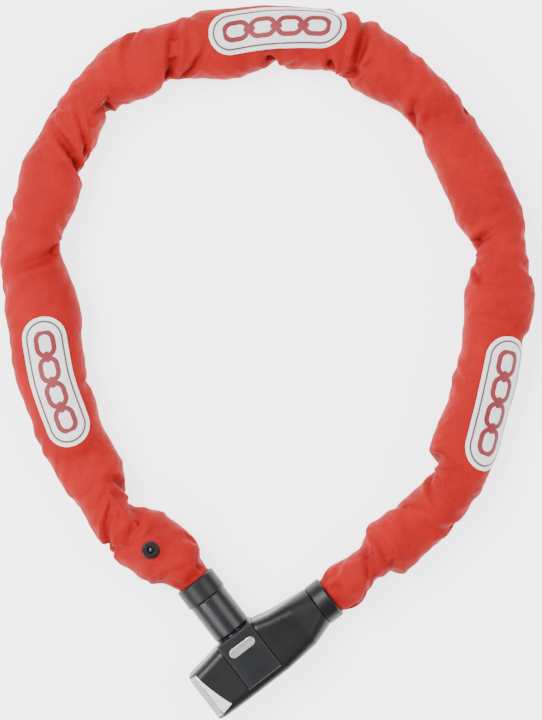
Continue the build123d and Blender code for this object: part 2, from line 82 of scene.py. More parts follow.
def smooth_line(points, steps=60):
    """A centripetal Catmull-Rom curve through the points."""
    p = np.vstack([2 * points[0] - points[1], points, 2 * points[-1] - points[-2]])
    out = []
    for p0, p1, p2, p3 in zip(p, p[1:], p[2:], p[3:]):
        t1 = np.linalg.norm(p1 - p0) ** 0.5
        t2 = t1 + np.linalg.norm(p2 - p1) ** 0.5
        t3 = t2 + np.linalg.norm(p3 - p2) ** 0.5
        t = np.linspace(t1, t2, steps, endpoint=False)[:, None]
        a1 = (t1 - t) / t1 * p0 + t / t1 * p1
        a2 = (t2 - t) / (t2 - t1) * p1 + (t - t1) / (t2 - t1) * p2
        a3 = (t3 - t) / (t3 - t2) * p2 + (t - t2) / (t3 - t2) * p3
        b1 = (t2 - t) / t2 * a1 + t / t2 * a2
        b2 = (t3 - t) / (t3 - t1) * a2 + (t - t1) / (t3 - t1) * a3
        out.append((t2 - t) / (t2 - t1) * b1 + (t - t1) / (t2 - t1) * b2)
    return np.vstack(out + [points[-1:]])


LINE = smooth_line(np.vstack([PLUG_MOUTH, (0, 50), LINK_MEETS, (50, 1.6), TAIL_MOUTH]))
ARC = np.r_[0, np.cumsum(np.hypot(*np.diff(LINE, axis=0).T))]
LENGTH = ARC[-1]
TABLE_LENGTH = 692  # the tables below measure their arc positions on a sleeve of this length
MEET_ARC = [float(ARC[np.argmin(np.hypot(*(LINE - m).T))]) for m in LINK_MEETS]
MIDDLES = [(a + b) / 2 for a, b in zip(MEET_ARC, MEET_ARC[1:])]
HINGE_ARC = [MEET_ARC[n] for n in HINGES]


def smoothed(values, sigma):
    """Values 1 mm apart, blurred."""
    reach = int(3 * sigma) + 1
    kernel = np.exp(-0.5 * (np.arange(-reach, reach + 1) / sigma) ** 2)
    padded = np.pad(values, reach, mode="edge")
    return np.convolve(padded, kernel / kernel.sum(), mode="valid")


GRID = np.arange(0, LENGTH + 1)
LINE_X, LINE_Y = (smoothed(np.interp(GRID, ARC, c), 1.5) for c in LINE.T)
LINE_X[:4], LINE_Y[-4:] = 0, 1.6
DIRECTION = np.stack([np.gradient(LINE_X), np.gradient(LINE_Y)], 1)
DIRECTION /= np.linalg.norm(DIRECTION, axis=1)[:, None]


def on_line(s):
    """Points on the chain line and its directions."""
    place = np.stack([np.interp(s, GRID, LINE_X), np.interp(s, GRID, LINE_Y)], -1)
    way = np.stack([np.interp(s, GRID, c) for c in DIRECTION.T], -1)
    return place, way / np.linalg.norm(way, axis=-1, keepdims=True)


# Sleeve shape: arc position, then how far the cloth reaches outside and inside the loop, in mm.
REACH = [
    (0, 8.0, 8.0), (4, 8.1, 8.1), (8, 11.0, 7.9), (12, 15.8, 9.2), (17, 17.3, 11.8),
    (26, 17.0, 13.8), (33, 15.2, 15.2), (38, 15.0, 14.3), (43, 12.6, 11.4), (47, 14.3, 7.4),
    (53, 13.6, 6.6), (59, 12.7, 9.8), (64, 12.5, 13.0), (70, 14.0, 15.4), (80, 15.0, 15.0),
    (92, 16.3, 13.5), (103, 15.5, 15.7), (112, 15.4, 14.8), (124, 16.2, 17.3), (135, 15.5, 17.1),
    (146, 15.2, 19.4), (160, 14.9, 17.8), (171, 14.9, 15.2), (177, 14.7, 12.2), (182, 14.3, 11.5),
    (191, 12.8, 13.2), (203, 12.3, 15.8), (215, 13.6, 15.7), (221, 13.3, 11.4), (228, 12.2, 12.6),
    (239, 11.5, 13.6), (248, 11.5, 10.8), (256, 12.4, 7.5), (264, 13.4, 10.6), (275, 14.8, 15.0),
    (283, 14.9, 15.5), (294, 12.8, 11.4), (305, 13.4, 14.2), (318, 14.5, 17.4), (330, 14.3, 17.5),
    (341, 14.7, 14.6), (347, 14.4, 10.4), (354, 14.8, 14.0), (366, 14.6, 13.4), (374, 14.4, 11.4),
    (378, 15.2, 11.4), (384, 16.0, 12.6), (391, 14.3, 16.5), (404, 13.8, 15.0), (419, 12.4, 11.8),
    (427, 12.4, 11.2), (435, 11.5, 11.4), (445, 12.0, 14.6), (458, 13.1, 15.9), (471, 13.6, 15.7),
    (483, 13.7, 16.8), (491, 13.6, 14.6), (496, 12.9, 11.2), (500, 12.6, 9.6), (504, 12.5, 9.0),
    (509, 12.8, 12.6), (521, 16.3, 16.5), (530, 15.8, 16.4), (541, 13.1, 15.0), (550, 13.9, 13.7),
    (560, 14.6, 14.8), (574, 13.5, 14.5), (587, 13.3, 16.7), (602, 13.5, 16.8), (609, 13.4, 8.8),
    (616, 12.6, 10.8), (630, 11.6, 13.3), (641, 12.2, 13.2), (655, 12.9, 14.4), (659, 11.5, 12.8),
    (663, 7.6, 8.6), (667, 6.6, 8.2), (674, 8.6, 9.6), (681, 10.2, 10.6), (686, 9.6, 9.8),
    (689, 8.2, 8.2), (692, 8.0, 8.0),
]
# Creases: arc position, side (1 outside, -1 inside), depth, width, slant along the chain, how far over
CREASES = [
    (9, 1, 1.2, 3.0, 3, 1.6), (10, -1, 1.0, 2.5, -4, 1.4), (16, -1, 0.9, 2.0, 5, 1.2),
    (38, 1, 1.5, 2.2, 9, 1.9), (44, 1, 1.3, 2.0, -6, 1.3), (50, -1, 1.8, 3.0, -7, 1.7),
    (57, -1, 1.4, 2.2, 8, 1.2), (92, 1, 0.7, 3.0, 8, 1.5), (113, -1, 1.0, 2.5, -6, 1.2),
    (160, 1, 0.6, 3.5, 9, 1.4), (182, -1, 1.6, 3.0, -6, 1.8), (190, -1, 0.7, 2.6, 8, 1.2),
    (197, 1, 0.8, 2.8, -7, 1.5), (221, -1, 2.2, 2.2, 7, 1.9), (227, -1, 1.4, 2.6, 12, 1.5),
    (240, 1, 0.8, 2.6, 5, 1.3), (256, -1, 2.2, 2.2, 3, 1.2), (262, -1, 1.0, 2.2, -9, 1.0),
    (292, -1, 2.0, 2.4, 5, 2.3), (297, -1, 1.5, 2.0, 12, 1.6), (289, 1, 1.3, 2.2, -8, 1.3),
    (309, 1, 0.7, 3.0, 6, 1.4), (347, -1, 2.0, 2.4, -5, 1.5), (353, -1, 0.9, 2.2, 7, 1.1),
    (374, 1, 1.6, 2.2, -4, 1.3), (383, 1, 2.4, 2.6, 2, 2.9), (376, -1, 2.2, 2.2, -3, 1.6),
    (380, -1, 1.3, 2.0, 10, 1.4), (404, 1, 0.7, 3.0, 6, 1.3), (427, -1, 1.7, 3.0, -4, 1.4),
    (437, 1, 1.1, 3.0, 5, 1.2),
    (499, -1, 2.0, 2.2, -4, 1.4), (508, -1, 1.2, 2.0, 9, 1.2), (514, 1, 0.8, 2.6, -6, 1.3),
    (540, 1, 1.2, 3.0, 5, 1.4), (560, -1, 0.6, 3.0, 7, 1.3), (575, 1, 0.6, 3.0, -5, 1.4),
    (607, -1, 2.2, 2.0, -4, 1.6), (613, -1, 1.2, 2.2, 8, 1.3), (626, 1, 1.0, 2.8, 6, 1.4),
    (640, -1, 0.8, 2.6, -7, 1.3), (660, -1, 1.5, 2.6, 4, 2.2), (661, 1, 1.3, 2.6, -3, 2.0),
    (673, -1, 0.6, 2.4, 9, 1.7), (677, 1, 0.6, 2.4, -7, 1.3), (684, -1, 0.5, 2.0, 5, 1.4),
]
# Label patches: name, arc position of the middle, how far it sits outside the chain line, and how
# fast that changes along the sleeve
LABELS = [
    ("label_left", 118, -1.2, -0.03), ("label_top", 347, 3.4, 0.1), ("label_right", 571, 6.8, 0.0),
]
LABEL_LONG, LABEL_WIDE, LABEL_THICK = 61.0, 20.5, 0.45

RIVET_LOW, RIVET_HIGH = (c / MM for c in map(np.array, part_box("sleeve_rivet")))
RIVET_XY = (RIVET_LOW + RIVET_HIGH)[:2] / 2
RIVET_TOP = RIVET_HIGH[2]
RIVET_SINK = 0.5  # how far the cloth lies below the rivet's flange, in mm
RIVET_REACH, RIVET_FADE = 3.4, 4.2  # where the cloth starts to rise from it, and how slowly
EYELET_RADIUS = 2.5
LOWEST = 0.12  # height of the cloth where it lies on the floor, in mm

STATIONS = np.array(REACH)
STATIONS[:, 0] *= LENGTH / STATIONS[-1, 0]
OUTSIDE, INSIDE = (smoothed(np.interp(GRID, STATIONS[:, 0], STATIONS[:, c]), 1.3) for c in (1, 2))

# The cloth lies on the floor, is held up by the upright links and sags a little over the flat ones.
TOP = np.full(len(GRID), 24.5)
for n in range(0, LINKS, 2):
    TOP -= 2.3 * np.exp(-(((GRID - MIDDLES[n]) / 8.0) ** 2))
OPEN = np.clip(np.minimum(GRID - 3, LENGTH - 4 - GRID) / 11, 0, 1)
OPEN = OPEN * OPEN * (3 - 2 * OPEN)
TOP = AXIS_Z + MOUTH_RADIUS + (TOP - AXIS_Z - MOUTH_RADIUS) * OPEN
BOTTOM = AXIS_Z - MOUTH_RADIUS + (0.25 - AXIS_Z + MOUTH_RADIUS) * OPEN

# The cloth is gathered where the sleeve changes its width.
NARROWING = np.abs(np.gradient(OUTSIDE)) + np.abs(np.gradient(INSIDE))
GATHER = np.clip(smoothed(NARROWING, 3.0) * 1.3, 0, 1)


def patch_share(s, t):
    """1 under the label patches, which stiffen the cloth, and 0 away from them."""
    share = 0
    for _, middle, offset, _ in LABELS:
        along = np.clip((LABEL_LONG / 2 + 5 - np.abs(s - middle)) / 5, 0, 1)
        turned = (t + math.pi / 2) % (2 * math.pi) - math.pi
        share = share + along * np.clip((1.35 - np.abs(turned + offset * 0.07)) / 0.4, 0, 1)
    return np.clip(share, 0, 1)


def waves(s, around, sizes, seed):
    """Sums of slanted ripples over the cloth, from -1 to 1 or so; around is in mm too."""
    picks = np.random.default_rng(seed)
    total = 0
    for low, high in sizes:
        for _ in range(7):
            turn, size, phase = picks.uniform((-0.9, low, 0), (0.9, high, 6.28))
            walked = s * math.cos(turn) + around * math.sin(turn)
            total = total + np.sin(walked * 6.283 / size + phase)
    return total / (7 * len(sizes)) ** 0.5


def bare_sleeve(s, t):
    """Sleeve surface before its creases; t turns from the outside (0) over the top to the inside."""
    out, inn = np.interp(s, GRID, OUTSIDE), np.interp(s, GRID, INSIDE)
    top, bottom = np.interp(s, GRID, TOP), np.interp(s, GRID, BOTTOM)
    place, way = on_line(s)
    cos, sin = np.cos(t), np.sin(t)
    # Powers under 1 make the section fuller than an ellipse, and flatter where it lies on the floor.
    full, flattened = 0.9, 0.72
    across = (out - inn) / 2 + (out + inn) / 2 * np.sign(cos) * np.abs(cos) ** full
    rise = np.where(sin > 0, np.abs(sin) ** full, np.abs(sin) ** flattened) * np.sign(sin)
    height = (top + bottom) / 2 + (top - bottom) / 2 * rise
    return np.stack(
        [place[..., 0] - way[..., 1] * across, place[..., 1] + way[..., 0] * across, height], -1
    )


def crease_depth(s, t):
    """How far the cloth stands out (+) or is drawn in (-) at each point, in mm."""
    depth = np.zeros(np.broadcast(s, t).shape)
    for at, side, deep, wide, slant, over in CREASES:
        turned = t if side > 0 else math.pi - t
        turned = (turned + math.pi) % (2 * math.pi) - math.pi
        along = s - at * LENGTH / TABLE_LENGTH - slant * np.clip(turned, -1.2, 2.5)
        fade = np.exp(-((np.abs(turned) / over) ** 3))
        fade = np.where(turned < -0.6, fade * np.exp(-(((turned + 0.6) / 0.5) ** 2)), fade)
        wide = 0.8 * wide
        groove = np.exp(-((along / wide) ** 2))
        lips = sum(np.exp(-(((along - gap * wide) / wide) ** 2)) for gap in (-2.1, 2.1))
        depth += deep * fade * (0.42 * lips - groove)
    upper = np.clip((np.sin(t) + 0.6) / 0.8, 0, 1)
    ease = np.clip(np.minimum(s, LENGTH - s) / 12, 0, 1)
    around = t * 14
    soft = waves(s, around, [(18, 34), (34, 60)], 3) * 0.42
    fine = waves(s, around, [(5, 11)], 11) * 0.14
    calm = 1 - 0.85 * patch_share(s, t)
    gather = np.interp(s, GRID, GATHER) * waves(s, around * 0.25, [(5, 10)], 23) * 0.3
    collar = np.exp(-((np.minimum(s - 6, LENGTH - 6 - s) / 6) ** 2))
    pleats = 0.5 * collar * np.cos(9 * t + 0.6 * np.sin(3 * t))
    mouths = np.clip(np.minimum(s - 3.6, LENGTH - 3.6 - s) / 3, 0, 1)
    return (depth * 1.35 + soft + fine + gather) * upper * ease * calm + pleats * mouths


def things_inside():
    """Each link and eye: arc position, middle, direction, half straight part, half width, lies flat."""
    things = []
    for n, (first, last) in enumerate(zip(LINK_MEETS, LINK_MEETS[1:])):
        way = (last - first) / np.linalg.norm(last - first)
        things.append((MIDDLES[n], (first + last) / 2, way, LINK_STRAIGHT, LINK_WIDE, n % 2 == 0))
    plug_eye, tail_eye = np.array([0, PLUG_MOUTH[1] + EYE_IN]), LINK_MEETS[-1]
    things.append((EYE_IN, plug_eye, np.array([0.0, 1.0]), 0.0, 9.0, False))
    things.append((LENGTH - EYE_IN, tail_eye, np.array([1.0, 0.0]), 0.0, 10.0, True))
    return things


def clear_links(point, outward, s):
    """Moves the cloth outwards where it would cut through a link or an eye."""
    for arc, middle, way, straight, wide, lies_flat in things_inside():
        near = np.abs(s - arc) < straight + wide + 5
        out = outward[near]
        place = point[near]
        for _ in range(10):
            rel = place[:, :2] - middle
            side = rel[:, 1] * way[0] - rel[:, 0] * way[1]
            rise = place[:, 2] - AXIS_Z
            flat, thick = (side, rise) if lies_flat else (rise, side)
            past = np.maximum(np.abs(rel @ way) - straight, 0)
            inside = np.minimum(wide - np.hypot(past, flat), LINK_THICK - np.abs(thick))
            push = np.maximum(inside + CLOTH_GAP, 0)
            place = place + out * push[:, None]
        point[near] = place
    return point


def sleeve_surface(s, t):
    """Points on the finished sleeve, and the way out of it, in mm."""
    step_s, step_t = 0.5, 0.03
    point = bare_sleeve(s, t)
    ds = bare_sleeve(s + step_s, t) - bare_sleeve(s - step_s, t)
    dt = bare_sleeve(s, t + step_t) - bare_sleeve(s, t - step_t)
    normal = np.cross(dt, ds)
    normal /= np.maximum(np.linalg.norm(normal, axis=-1, keepdims=True), 1e-9)
    place, _ = on_line(s)
    outward = point - np.stack([place[..., 0], place[..., 1], 0 * place[..., 0] + AXIS_Z], -1)
    outward /= np.maximum(np.linalg.norm(outward, axis=-1, keepdims=True), 1e-9)
    # On the inside of a tight bend the cloth crosses itself and its normal turns over.
    aligned = np.sum(normal * outward, -1, keepdims=True)
    normal = np.where(aligned > 0.1, normal, outward)
    point = point + normal * crease_depth(s, t)[..., None]
    point = clear_links(point, outward, np.broadcast_to(s, point.shape[:-1]))
    # The rivet draws the cloth down around it.
    away = np.hypot(point[..., 0] - RIVET_XY[0], point[..., 1] - RIVET_XY[1])
    dip = np.exp(-((np.maximum(away - RIVET_REACH, 0) / RIVET_FADE) ** 1.5)) * (point[..., 2] > AXIS_Z)
    point[..., 2] += (RIVET_TOP - RIVET_SINK - point[..., 2]) * dip
    point[..., 2] = np.maximum(point[..., 2], LOWEST)
    return point, normal


def grid_normals(points):
    """Vertex normals of a grid of points."""
    ds = np.gradient(points, axis=0)
    dt = np.gradient(points, axis=1)
    normal = np.cross(dt, ds)
    return normal / np.maximum(np.linalg.norm(normal, axis=-1, keepdims=True), 1e-12)


def new_mesh(name, points, faces, normals=None, cloth=None):
    """A smooth mesh object; points are in mm."""
    mesh = bpy.data.meshes.new(name)
    mesh.from_pydata((np.asarray(points) * MM).tolist(), [], faces)
    mesh.polygons.foreach_set("use_smooth", [True] * len(mesh.polygons))
    if cloth is not None:
        data = mesh.attributes.new("cloth", "FLOAT_VECTOR", "POINT")
        data.data.foreach_set("vector", np.asarray(cloth, np.float32).ravel())
    if normals is not None:
        mesh.normals_split_custom_set_from_vertices(np.asarray(normals).tolist())
    obj = bpy.data.objects.new(name, mesh)
    bpy.context.scene.collection.objects.link(obj)
    return obj


def grid_faces(rows, columns, closed=False):
    """Quads over a grid of rows by columns; closed joins the last column to the first."""
    faces = []
    for r in range(rows - 1):
        for c in range(columns if closed else columns - 1):
            d = (c + 1) % columns
            here, next_row = r * columns, (r + 1) * columns
            faces.append((here + c, here + d, next_row + d, next_row + c))
    return faces


# The cloth pieces meet halfway between the hinges.
CUTS = [0.0, *[(a + b) / 2 for a, b in zip(HINGE_ARC, HINGE_ARC[1:])], LENGTH]


def bend_with_chain(piece):
    """Bakes a piece of cloth's placement into its mesh."""
    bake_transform(piece)


def make_sleeve(material):
    """The sleeve, in one piece of cloth per hinge."""
    spans = list(zip(CUTS, CUTS[1:]))
    spacing, columns = 0.8, 112
    rows = [max(6, int((b - a) / spacing)) for a, b in spans]
    places = [np.linspace(a, b, count, endpoint=False) for (a, b), count in zip(spans, rows)]
    places = np.append(np.concatenate(places), LENGTH)
    t = np.linspace(0, 2 * math.pi, columns, endpoint=False)
    s = places[:, None] + 0 * t
    points, _ = sleeve_surface(s, t + 0 * s)
    wrapped = np.concatenate([points[:, -1:], points, points[:, :1]], 1)
    normals = grid_normals(wrapped)[:, 1:-1]
    step = np.linalg.norm(np.diff(wrapped[:, 1:], axis=1), axis=-1)
    around = np.cumsum(step, axis=1) - step
    first = 0
    for n, count in enumerate(rows):
        part = slice(first, first + count + 1)
        cloth = np.stack([s[part], around[part], t + 0 * s[part]], -1).reshape(-1, 3)
        piece = new_mesh(
            f"sleeve_cloth_{n + 1:02d}",
            points[part].reshape(-1, 3),
            around_rivet(points[part].reshape(-1, 3), grid_faces(count + 1, columns, closed=True)),
            normals[part].reshape(-1, 3),
            cloth,
        )
        piece.data.materials.append(material)
        bend_with_chain(piece)
        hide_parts("chain_sleeve")
        first += count


def around_rivet(points, faces):
    """The faces that are left once the eyelet is punched through both walls of the cloth."""
    away = np.hypot(points[:, 0] - RIVET_XY[0], points[:, 1] - RIVET_XY[1])
    return [f for f in faces if away[list(f)].min() > EYELET_RADIUS]


def make_rivet_floor(material):
    """The domed end inside the tubular rivet, a steel painted dark as the shade down the rivet's bore.
    """
    sides, radius, depth, dome = 32, 2.1, 1.6, 0.16
    turns = np.linspace(0, 2 * math.pi, sides + 1)[:-1]
    rings = np.linspace(0.02, radius, 7)[:, None]
    x, y = RIVET_XY[0] + rings * np.cos(turns), RIVET_XY[1] + rings * np.sin(turns)
    points = np.stack([x, y, RIVET_TOP - depth - dome * rings**2 + 0 * x], -1)
    piece = new_mesh("rivet_floor", points.reshape(-1, 3), grid_faces(len(rings), sides, closed=True))
    piece.data.flip_normals()
    piece.data.materials.append(material)
    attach(piece, "chain_run_7")


def make_label(name, middle, offset, slope, material):
    """A pill-shaped patch sewn on top of the sleeve, cut where the cloth pieces meet."""
    radius = LABEL_WIDE / 2
    t = np.linspace(-0.7, math.pi + 0.7, 300)
    share = np.sin(np.linspace(-1, 1, 41) * math.pi / 2)
    share = np.concatenate([share[:1], share, share[-1:]])
    lift = np.full(len(share), LABEL_THICK)
    lift[[0, -1]] = -0.15
    for n, (low, high) in enumerate(zip(CUTS, CUTS[1:])):
        low, high = max(low, middle - LABEL_LONG / 2), min(high, middle + LABEL_LONG / 2)
        if high - low < 0.2:
            continue
        s = np.linspace(low, high, max(4, int((high - low) / 0.5)))
        past = np.maximum(np.abs(s - middle) - (LABEL_LONG / 2 - radius), 0)
        half = np.sqrt(np.maximum(radius**2 - past**2, 0.02))
        surface, _ = sleeve_surface(s[:, None] + 0 * t, t + 0 * s[:, None])
        steps = np.diff(surface, axis=1, prepend=surface[:, :1])
        walked = np.cumsum(np.linalg.norm(steps, axis=-1), axis=1)
        place, way = on_line(s)
        rel = surface[..., :2] - place[:, None]
        across = rel[..., 1] * way[:, None, 0] - rel[..., 0] * way[:, None, 1]
        rows = []
        for i in range(len(s)):
            top = slice(30, -30)
            order = np.argsort(across[i, top])
            wanted = offset + slope * (s[i] - middle)
            centre = np.interp(wanted, across[i, top][order], walked[i, top][order])
            spread = np.interp(centre - share * half[i], walked[i], t)
            point, normal = sleeve_surface(np.full(len(share), s[i]), spread)
            rows.append(point + normal * lift[:, None])
        along, sideways = s[:, None] - middle + 0 * share, share * half[:, None]
        cloth = np.stack([along, sideways, 0 * along], -1)
        piece = new_mesh(
            f"{name}_{n + 1:02d}", np.array(rows).reshape(-1, 3), grid_faces(len(s), len(share)),
            None, cloth.reshape(-1, 3),
        )
        piece.data.flip_normals()
        piece.data.materials.append(material)
        bend_with_chain(piece)


# Materials


class Shader:
    """A material under construction; sockets and numbers both work as inputs."""

    def __init__(self, name):
        self.material = bpy.data.materials.new(name)
        self.material.use_nodes = True
        self.tree = self.material.node_tree
        self.bsdf = self.tree.nodes["Principled BSDF"]

    def node(self, kind, *inputs, settings=None, out=0, **named):
        made = self.tree.nodes.new(kind)
        for key, value in (settings or {}).items():
            setattr(made, key, value)
        for key, value in [*enumerate(inputs), *named.items()]:
            self.feed(made.inputs[key.replace("_", " ") if isinstance(key, str) else key], value)
        return made.outputs[out]

    def feed(self, socket, value):
        if isinstance(value, bpy.types.NodeSocket):
            self.tree.links.new(value, socket)
        elif value is not None:
            socket.default_value = value

    def math(self, operation, *inputs):
        return self.node("ShaderNodeMath", *inputs, settings={"operation": operation})

    def mix(self, factor, a, b):
        made = self.tree.nodes.new("ShaderNodeMix")
        made.data_type = "RGBA"
        self.feed(made.inputs["Factor"], factor)
        for socket, value in ((made.inputs[6], a), (made.inputs[7], b)):
            self.feed(socket, (*value, 1) if isinstance(value, tuple) else value)
        return made.outputs[2]

    def noise(self, scale, detail=2.0, where=None):
        if where is None:
            where = self.node("ShaderNodeTexCoord", out=3)
        return self.node("ShaderNodeTexNoise", Vector=where, Scale=scale, Detail=detail, Roughness=0.5)

    def ramp(self, value, low, high, to_low=0.0, to_high=1.0):
        return self.node("ShaderNodeMapRange", value, low, high, to_low, to_high)

    def bump(self, height, distance, strength=1.0, normal=None):
        shape = {"Height": height, "Distance": distance, "Strength": strength, "Normal": normal}
        return self.node("ShaderNodeBump", **shape)

    def finish(self, **values):
        for key, value in values.items():
            socket = self.bsdf.inputs[key.replace("_", " ")]
            self.feed(socket, (*value, 1) if isinstance(value, tuple) else value)
        return self.material


def cloth_coordinates(sh):
    """The arc position and the way round in mm, and the turn in radians, of a point on the cloth."""
    attribute = sh.node("ShaderNodeAttribute", settings={"attribute_name": "cloth"}, out=1)
    split = sh.tree.nodes.new("ShaderNodeSeparateXYZ")
    sh.feed(split.inputs[0], attribute)
    return attribute, split.outputs[0], split.outputs[1], split.outputs[2]


def weave_height(sh, along, around, pitch):
    """Plain weave: threads pass over and under one another."""
    turn = 2 * math.pi / pitch
    a = sh.math("SINE", sh.math("MULTIPLY", along, turn))
    b = sh.math("SINE", sh.math("MULTIPLY", around, turn))
    return sh.math("MULTIPLY", a, b)


def sleeve_material():
    """Red canvas: a plain weave of uneven threads, a stitched seam on the outer side, and painted shade
    that darkens the folds, the seam's groove and the weave's valleys.
    """
    sh = Shader("red_canvas")
    where, along, around, turn = cloth_coordinates(sh)
    deep, bright, pale = (0.30, 0.0012, 0.0016), (0.44, 0.004, 0.004), (0.52, 0.012, 0.01)
    # The colours on the next line are painted shade: darker reds for the weave's valleys, the seam's
    # groove and the folds.
    shade, seam_groove_shade, fold_shade = (0.12, 0.0004, 0.0008), (0.08, 0.0003, 0.0006), (0.08, 0.0002, 0.0006)
    weave = weave_height(sh, along, around, 0.95)
    slubs = sh.noise(0.7, 3.0, where)
    patches = sh.noise(0.045, 3.0, where)
    threads = sh.noise(2.6, 2.0, where)
    tone = sh.math("ADD", sh.math("MULTIPLY", patches, 0.6), sh.math("MULTIPLY", slubs, 0.4))
    colour = sh.mix(sh.ramp(tone, 0.35, 0.68), deep, bright)
    colour = sh.mix(sh.ramp(weave, -1.0, 1.0, 0.22, 0.0), colour, shade)
    colour = sh.mix(sh.ramp(threads, 0.55, 0.75, 0.0, 0.25), colour, pale)
    # The seam runs low on the outer side, with a row of stitches each side of it; distances in mm.
    seam = sh.math("MULTIPLY", sh.math("ABSOLUTE", sh.math("SUBTRACT", turn, 5.75)), 13.0)
    beside = sh.math("ABSOLUTE", sh.math("SUBTRACT", seam, 1.6))
    stitch = sh.math("LESS_THAN", sh.math("MODULO", along, 3.4), 2.4)
    thread = sh.math("MULTIPLY", sh.math("LESS_THAN", beside, 0.32), stitch)
    groove = sh.math("LESS_THAN", seam, 0.35)
    # Painted shade: the seam's groove is darkened.
    colour = sh.mix(sh.math("MULTIPLY", groove, 0.6), colour, seam_groove_shade)
    colour = sh.mix(thread, colour, (0.40, 0.012, 0.012))
    # Painted shade: the cloth is darkened where ambient occlusion finds it closed in, as in folds and
    # creases.
    occlusion_shade = sh.node("ShaderNodeAmbientOcclusion", settings={"samples": 6}, Distance=0.006, out=1)
    colour = sh.mix(sh.ramp(occlusion_shade, 0.35, 0.95, 0.7, 0.0), colour, fold_shade)
    height = sh.math("ADD", sh.math("MULTIPLY", weave, 0.5), sh.math("MULTIPLY", threads, 0.5))
    height = sh.math("ADD", height, sh.math("MULTIPLY", sh.math("SUBTRACT", thread, groove), 2.0))
    normal = sh.bump(slubs, 0.0006, 0.5, sh.bump(height, 0.00012, 0.8))
    return sh.finish(
        Base_Color=colour, Roughness=sh.ramp(slubs, 0.2, 0.8, 0.62, 0.82), Normal=normal,
        Sheen_Weight=0.08, Sheen_Roughness=0.4, Sheen_Tint=(1.0, 0.2, 0.16), Specular_IOR_Level=0.2,
    )


def label_material():
    """White patch with a thin rim line and a row of chain links as its only motif."""
    sh = Shader("label_patch")
    where, along, across, _ = cloth_coordinates(sh)
    straight = (LABEL_LONG - LABEL_WIDE) / 2
    rim_inset, rim_half = 2.3, 0.42
    pitch, link_straight, link_radius, bar_half = 12.0, 1.6, 3.8, 1.15
    reach = sh.math("MAXIMUM", sh.math("SUBTRACT", sh.math("ABSOLUTE", along), straight), 0.0)
    edge = sh.math("SQRT", sh.math("ADD", sh.math("POWER", reach, 2.0), sh.math("POWER", across, 2.0)))
    inset = sh.math("SUBTRACT", LABEL_WIDE / 2, edge)
    line = sh.math("LESS_THAN", sh.math("ABSOLUTE", sh.math("SUBTRACT", inset, rim_inset)), rim_half)
    cell = sh.math("MODULO", sh.math("ADD", along, 8 * pitch), pitch)
    cell = sh.math("SUBTRACT", cell, pitch / 2)
    bar = sh.math("MAXIMUM", sh.math("SUBTRACT", sh.math("ABSOLUTE", cell), link_straight), 0.0)
    ring = sh.math("SQRT", sh.math("ADD", sh.math("POWER", bar, 2.0), sh.math("POWER", across, 2.0)))
    link = sh.math("LESS_THAN", sh.math("ABSOLUTE", sh.math("SUBTRACT", ring, link_radius)), bar_half)
    joint = sh.math(
        "MULTIPLY",
        sh.math("LESS_THAN", sh.math("ABSOLUTE", across), 1.0),
        sh.math("GREATER_THAN", sh.math("ABSOLUTE", cell), 3.4),
    )
    joint = sh.math("MULTIPLY", joint, sh.math("LESS_THAN", sh.math("ABSOLUTE", along), 1.5 * pitch))
    inside = sh.math("LESS_THAN", sh.math("ABSOLUTE", along), 2 * pitch)
    motif = sh.math("MULTIPLY", sh.math("MAXIMUM", link, joint), inside)
    grain = sh.noise(0.9, 3.0, where)
    white = sh.mix(sh.ramp(grain, 0.3, 0.7), (0.74, 0.72, 0.71), (0.88, 0.87, 0.865))
    colour = sh.mix(line, white, (0.09, 0.05, 0.055))
    colour = sh.mix(motif, colour, (0.20, 0.006, 0.012))
    weave = weave_height(sh, along, across, 0.6)
    print_depth = sh.math("MULTIPLY", sh.math("MAXIMUM", line, motif), 1.6)
    height = sh.math("SUBTRACT", sh.math("MULTIPLY", weave, 0.4), print_depth)
    normal = sh.bump(height, 0.00012, 0.6)
    return sh.finish(Base_Color=colour, Roughness=0.52, Normal=normal, Sheen_Weight=0.1)


def plastic(name, colour, roughness, grain=0.00004, edge=0.0005):
    """Moulded plastic: fine spark-eroded grain, rounded edges that are a little shinier."""
    sh = Shader(name)
    speck = sh.noise(2600, 2.0)
    cloud = sh.noise(60, 3.0)
    rounded = sh.node("ShaderNodeBevel", settings={"samples": 6}, Radius=edge)
    worn = tuple(min(1.0, c * 1.6 + 0.003) for c in colour)
    tone = sh.mix(sh.ramp(cloud, 0.3, 0.75, 0.0, 0.5), colour, worn)
    return sh.finish(
        Base_Color=tone, Roughness=sh.ramp(cloud, 0.25, 0.75, roughness - 0.05, roughness + 0.06),
        Normal=sh.bump(speck, grain, 0.7, rounded), Specular_IOR_Level=0.3,
    )


def metal(name, colour, roughness, brushed=None, grain=0.00003, edge=0.0004):
    """Metal with machining marks along one axis, or a plain satin surface."""
    sh = Shader(name)
    where = sh.node("ShaderNodeTexCoord", out=3)
    if brushed is not None:
        stretch = [900.0] * 3
        stretch[brushed] = 30.0
        where = sh.node("ShaderNodeMapping", where, Scale=tuple(stretch))
        marks = sh.noise(1.0, 3.0, where)
    else:
        marks = sh.noise(1400, 2.0, where)
    cloud = sh.noise(90, 3.0)
    rounded = sh.node("ShaderNodeBevel", settings={"samples": 6}, Radius=edge)
    dull = tuple(c * 0.72 for c in colour)
    return sh.finish(
        Base_Color=sh.mix(sh.ramp(cloud, 0.35, 0.75), colour, dull), Metallic=1.0,
        Roughness=sh.ramp(marks, 0.2, 0.8, roughness - 0.08, roughness + 0.1),
        Normal=sh.bump(marks, grain, 0.5, rounded),
    )


